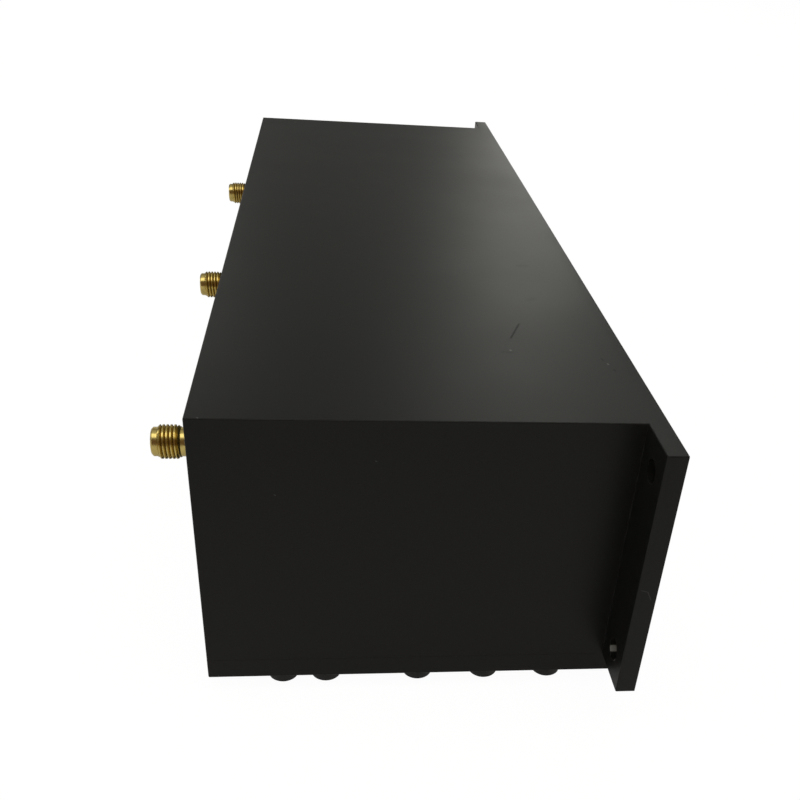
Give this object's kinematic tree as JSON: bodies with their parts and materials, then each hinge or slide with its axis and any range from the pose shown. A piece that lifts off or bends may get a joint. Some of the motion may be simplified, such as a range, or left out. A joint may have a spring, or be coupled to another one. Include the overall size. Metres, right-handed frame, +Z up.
{
  "type": "rf duplexer",
  "caption": "Black cavity duplexer box with a side mounting flange, gold coaxial jacks on one long side and tuning screws through its cover.",
  "frame": {"origin": "on the floor under the middle of the overall box, where the lock nuts' faces stand", "axes": "+Z up with the cover underneath, +X from the jacks to the flange, +Y along the length away from the end shown"},
  "size_m": [0.092, 0.259, 0.0617],
  "materials": {
    "black_housing": "satin black coat",
    "black_cover": "satin black coat",
    "black_screws": "black oxide",
    "gold_jack": "gold plate",
    "gold_contact": "gold plate",
    "insulator": "PTFE",
    "silver_post": "silver plate",
    "steel_screws": "plain steel",
    "brass_tuner": "plain brass",
    "brass_nut": "plain brass",
    "steel_washer": "plain steel",
    "tap": "plain brass"
  },
  "bodies": {
    "box": {"housing": "black_housing", "cover": "black_cover", "cover_screws": "black_screws", "lock_nuts": "brass_nut", "resonator_screws": "steel_screws", "tx_jack_body": "gold_jack", "tx_jack_insulator": "insulator", "tx_jack_contact": "gold_contact", "tx_jack_tap": "tap", "antenna_jack_body": "gold_jack", "antenna_jack_insulator": "insulator", "antenna_jack_contact": "gold_contact", "antenna_jack_tap": "tap", "rx_jack_body": "gold_jack", "rx_jack_insulator": "insulator", "rx_jack_contact": "gold_contact", "rx_jack_tap": "tap", "tx_1_resonator": "silver_post", "tx_2_resonator": "silver_post", "tx_3_resonator": "silver_post", "tx_4_resonator": "silver_post", "common_resonator": "silver_post", "trap_resonator": "silver_post", "rx_1_resonator": "silver_post", "rx_2_resonator": "silver_post", "rx_3_resonator": "silver_post", "rx_4_resonator": "silver_post", "rx_5_resonator": "silver_post", "rx_6_resonator": "silver_post"},
    "tx_1_washer": {"tx_1_tuning_washer": "steel_washer"},
    "tx_1_tuner": {"tx_1_tuning_screw": "brass_tuner"},
    "tx_2_washer": {"tx_2_tuning_washer": "steel_washer"},
    "tx_2_tuner": {"tx_2_tuning_screw": "brass_tuner"},
    "tx_3_washer": {"tx_3_tuning_washer": "steel_washer"},
    "tx_3_tuner": {"tx_3_tuning_screw": "brass_tuner"},
    "tx_4_washer": {"tx_4_tuning_washer": "steel_washer"},
    "tx_4_tuner": {"tx_4_tuning_screw": "brass_tuner"},
    "common_washer": {"common_tuning_washer": "steel_washer"},
    "common_tuner": {"common_tuning_screw": "brass_tuner"},
    "trap_washer": {"trap_tuning_washer": "steel_washer"},
    "trap_tuner": {"trap_tuning_screw": "brass_tuner"},
    "rx_1_washer": {"rx_1_tuning_washer": "steel_washer"},
    "rx_1_tuner": {"rx_1_tuning_screw": "brass_tuner"},
    "rx_2_washer": {"rx_2_tuning_washer": "steel_washer"},
    "rx_2_tuner": {"rx_2_tuning_screw": "brass_tuner"},
    "rx_3_washer": {"rx_3_tuning_washer": "steel_washer"},
    "rx_3_tuner": {"rx_3_tuning_screw": "brass_tuner"},
    "rx_4_washer": {"rx_4_tuning_washer": "steel_washer"},
    "rx_4_tuner": {"rx_4_tuning_screw": "brass_tuner"},
    "rx_5_washer": {"rx_5_tuning_washer": "steel_washer"},
    "rx_5_tuner": {"rx_5_tuning_screw": "brass_tuner"},
    "rx_6_washer": {"rx_6_tuning_washer": "steel_washer"},
    "rx_6_tuner": {"rx_6_tuning_screw": "brass_tuner"}
  },
  "joints": [
    {"name": "tx_1_turn", "type": "hinge", "parent": "box", "child": "tx_1_washer", "pos_m": [-0.014, -0.09333, 0], "axis": [0, 0, 1], "range_deg": [-1810, 1810]},
    {"name": "tx_1_travel", "type": "slide", "parent": "tx_1_washer", "child": "tx_1_tuner", "axis": [0, 0, 1], "range_m": [-0.0025, 0.0025]},
    {"name": "tx_2_turn", "type": "hinge", "parent": "box", "child": "tx_2_washer", "pos_m": [0.022, -0.09333, 0], "axis": [0, 0, 1], "range_deg": [-1810, 1810]},
    {"name": "tx_2_travel", "type": "slide", "parent": "tx_2_washer", "child": "tx_2_tuner", "axis": [0, 0, 1], "range_m": [-0.0025, 0.0025]},
    {"name": "tx_3_turn", "type": "hinge", "parent": "box", "child": "tx_3_washer", "pos_m": [0.022, -0.056, 0], "axis": [0, 0, 1], "range_deg": [-1810, 1810]},
    {"name": "tx_3_travel", "type": "slide", "parent": "tx_3_washer", "child": "tx_3_tuner", "axis": [0, 0, 1], "range_m": [-0.0025, 0.0025]},
    {"name": "tx_4_turn", "type": "hinge", "parent": "box", "child": "tx_4_washer", "pos_m": [-0.014, -0.056, 0], "axis": [0, 0, 1], "range_deg": [-1810, 1810]},
    {"name": "tx_4_travel", "type": "slide", "parent": "tx_4_washer", "child": "tx_4_tuner", "axis": [0, 0, 1], "range_m": [-0.0025, 0.0025]},
    {"name": "common_turn", "type": "hinge", "parent": "box", "child": "common_washer", "pos_m": [-0.014, -0.01867, 0], "axis": [0, 0, 1], "range_deg": [-1810, 1810]},
    {"name": "common_travel", "type": "slide", "parent": "common_washer", "child": "common_tuner", "axis": [0, 0, 1], "range_m": [-0.0025, 0.0025]},
    {"name": "trap_turn", "type": "hinge", "parent": "box", "child": "trap_washer", "pos_m": [0.022, -0.01867, 0], "axis": [0, 0, 1], "range_deg": [-1810, 1810]},
    {"name": "trap_travel", "type": "slide", "parent": "trap_washer", "child": "trap_tuner", "axis": [0, 0, 1], "range_m": [-0.0025, 0.0025]},
    {"name": "rx_1_turn", "type": "hinge", "parent": "box", "child": "rx_1_washer", "pos_m": [-0.014, 0.01867, 0], "axis": [0, 0, 1], "range_deg": [-1810, 1810]},
    {"name": "rx_1_travel", "type": "slide", "parent": "rx_1_washer", "child": "rx_1_tuner", "axis": [0, 0, 1], "range_m": [-0.0025, 0.0025]},
    {"name": "rx_2_turn", "type": "hinge", "parent": "box", "child": "rx_2_washer", "pos_m": [0.022, 0.01867, 0], "axis": [0, 0, 1], "range_deg": [-1810, 1810]},
    {"name": "rx_2_travel", "type": "slide", "parent": "rx_2_washer", "child": "rx_2_tuner", "axis": [0, 0, 1], "range_m": [-0.0025, 0.0025]},
    {"name": "rx_3_turn", "type": "hinge", "parent": "box", "child": "rx_3_washer", "pos_m": [0.022, 0.056, 0], "axis": [0, 0, 1], "range_deg": [-1810, 1810]},
    {"name": "rx_3_travel", "type": "slide", "parent": "rx_3_washer", "child": "rx_3_tuner", "axis": [0, 0, 1], "range_m": [-0.0025, 0.0025]},
    {"name": "rx_4_turn", "type": "hinge", "parent": "box", "child": "rx_4_washer", "pos_m": [0.022, 0.09333, 0], "axis": [0, 0, 1], "range_deg": [-1810, 1810]},
    {"name": "rx_4_travel", "type": "slide", "parent": "rx_4_washer", "child": "rx_4_tuner", "axis": [0, 0, 1], "range_m": [-0.0025, 0.0025]},
    {"name": "rx_5_turn", "type": "hinge", "parent": "box", "child": "rx_5_washer", "pos_m": [-0.014, 0.09333, 0], "axis": [0, 0, 1], "range_deg": [-1810, 1810]},
    {"name": "rx_5_travel", "type": "slide", "parent": "rx_5_washer", "child": "rx_5_tuner", "axis": [0, 0, 1], "range_m": [-0.0025, 0.0025]},
    {"name": "rx_6_turn", "type": "hinge", "parent": "box", "child": "rx_6_washer", "pos_m": [-0.014, 0.056, 0], "axis": [0, 0, 1], "range_deg": [-1810, 1810]},
    {"name": "rx_6_travel", "type": "slide", "parent": "rx_6_washer", "child": "rx_6_tuner", "axis": [0, 0, 1], "range_m": [-0.0025, 0.0025]}
  ],
  "couplings": [
    {"joint": "tx_1_turn", "follows": "tx_1_travel", "rad_per_m": 12566},
    {"joint": "tx_2_turn", "follows": "tx_2_travel", "rad_per_m": 12566},
    {"joint": "tx_3_turn", "follows": "tx_3_travel", "rad_per_m": 12566},
    {"joint": "tx_4_turn", "follows": "tx_4_travel", "rad_per_m": 12566},
    {"joint": "common_turn", "follows": "common_travel", "rad_per_m": 12566},
    {"joint": "trap_turn", "follows": "trap_travel", "rad_per_m": 12566},
    {"joint": "rx_1_turn", "follows": "rx_1_travel", "rad_per_m": 12566},
    {"joint": "rx_2_turn", "follows": "rx_2_travel", "rad_per_m": 12566},
    {"joint": "rx_3_turn", "follows": "rx_3_travel", "rad_per_m": 12566},
    {"joint": "rx_4_turn", "follows": "rx_4_travel", "rad_per_m": 12566},
    {"joint": "rx_5_turn", "follows": "rx_5_travel", "rad_per_m": 12566},
    {"joint": "rx_6_turn", "follows": "rx_6_travel", "rad_per_m": 12566}
  ]
}
